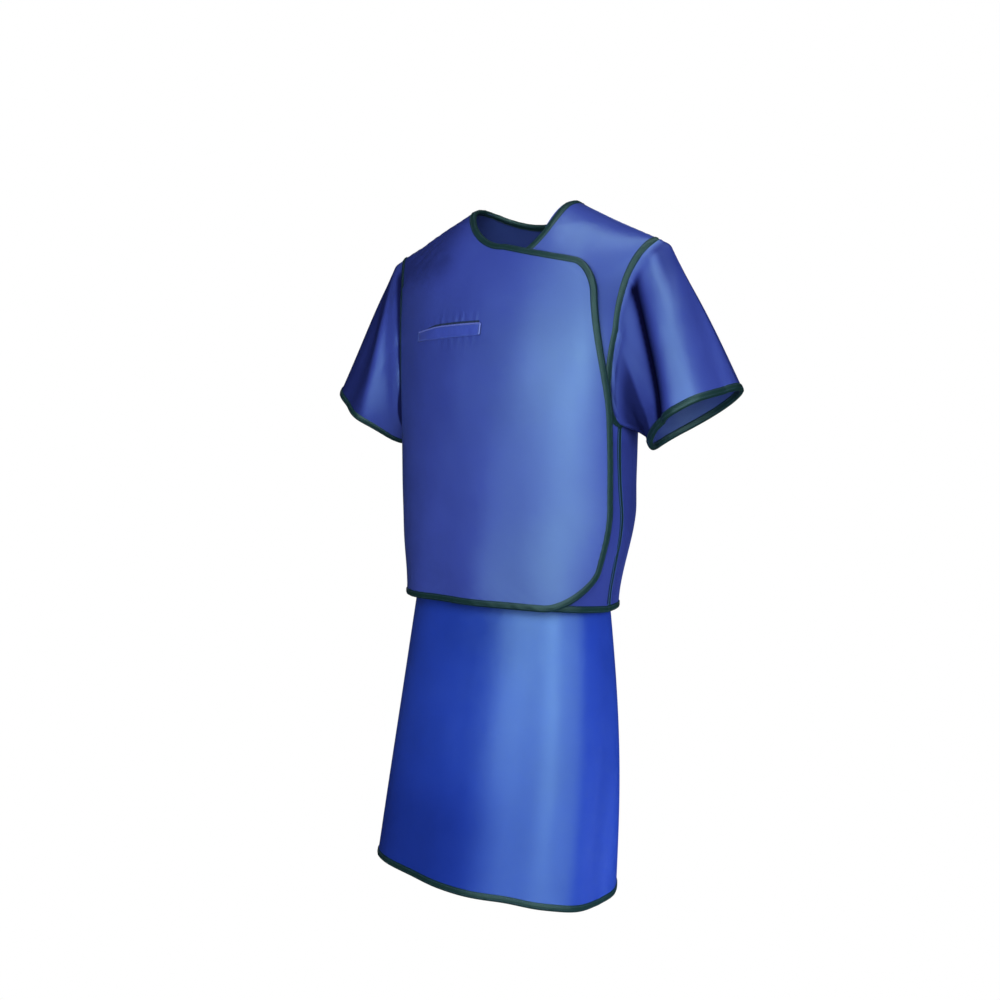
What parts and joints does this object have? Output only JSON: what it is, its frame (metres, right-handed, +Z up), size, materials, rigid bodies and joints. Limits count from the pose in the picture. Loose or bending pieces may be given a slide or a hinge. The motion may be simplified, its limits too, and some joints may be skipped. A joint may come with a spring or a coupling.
{
  "type": "x-ray protective vest and skirt",
  "caption": "Two-piece X-ray protective garment: a short-sleeved wrap vest with a front flap and breast pocket over a wrap skirt, each a lead-rubber sheet in cloth with bound edges.",
  "frame": {"origin": "centre of the waist, at the top edge of the skirt", "axes": "+X to the wearer's left, +Y to the wearer's back, +Z up"},
  "size_m": [0.716, 0.3248, 1.0197],
  "materials": {
    "cover_cloth": "smooth coated nylon with a satin sheen",
    "core_sheet": "matt lead-loaded rubber",
    "lining_cloth": "plain nylon",
    "binding_tape": "ribbed tape with lockstitch",
    "closure_strip": "hook and loop pile"
  },
  "bodies": {
    "skirt": {"skirt_cover": "cover_cloth", "skirt_core": "core_sheet", "skirt_lining": "lining_cloth", "skirt_waist_tape": "binding_tape", "skirt_hem_tape": "binding_tape", "skirt_edge_tape": "binding_tape", "skirt_under_tape": "binding_tape", "skirt_hook_strip": "closure_strip", "skirt_loop_strip": "closure_strip"},
    "vest": {"vest_back_cover": "cover_cloth", "vest_back_core": "core_sheet", "vest_back_lining": "lining_cloth", "right_front_cover": "cover_cloth", "right_front_core": "core_sheet", "right_front_lining": "lining_cloth", "left_front_cover": "cover_cloth", "left_front_core": "core_sheet", "left_front_lining": "lining_cloth", "vest_hem_tape": "binding_tape", "neck_tape": "binding_tape", "left_front_tape": "binding_tape", "left_armhole_tape": "binding_tape", "right_armhole_tape": "binding_tape", "left_side_tape": "binding_tape", "right_side_tape": "binding_tape", "pocket_welt": "cover_cloth", "pocket_bag": "lining_cloth", "front_loop_strip": "closure_strip"},
    "front_flap": {"front_flap_cover": "cover_cloth", "front_flap_core": "core_sheet", "front_flap_lining": "lining_cloth", "front_flap_tape": "binding_tape", "flap_hook_strip": "closure_strip"},
    "left_sleeve": {"left_sleeve_cover": "cover_cloth", "left_sleeve_core": "core_sheet", "left_sleeve_lining": "lining_cloth", "left_cuff_tape": "binding_tape"},
    "right_sleeve": {"right_sleeve_cover": "cover_cloth", "right_sleeve_core": "core_sheet", "right_sleeve_lining": "lining_cloth", "right_cuff_tape": "binding_tape"},
    "skirt_corner": {"skirt_corner_cover": "cover_cloth", "skirt_corner_core": "core_sheet", "skirt_corner_lining": "lining_cloth", "skirt_corner_tape": "binding_tape"}
  },
  "joints": [
    {"name": "vest_lift", "type": "slide", "parent": "skirt", "child": "vest", "axis": [0, 0, 1], "range_m": [0, 0.25]},
    {"name": "front_flap_fold", "type": "hinge", "parent": "vest", "child": "front_flap", "pos_m": [0.025, -0.1235, 0.2], "axis": [0, -0.1221, -0.9925], "range_deg": [0, 110]},
    {"name": "left_sleeve_raise", "type": "hinge", "parent": "vest", "child": "left_sleeve", "pos_m": [0.233, 0.018, 0.38], "axis": [0, -1, 0], "range_deg": [0, 18]},
    {"name": "right_sleeve_raise", "type": "hinge", "parent": "vest", "child": "right_sleeve", "pos_m": [-0.233, 0.018, 0.38], "axis": [0, 1, 0], "range_deg": [0, 18]},
    {"name": "skirt_corner_bend", "type": "hinge", "parent": "skirt", "child": "skirt_corner", "pos_m": [-0.1704, -0.08, -0.3692], "axis": [-0.0255, 0.3803, 0.9245], "range_deg": [0, 45]}
  ]
}
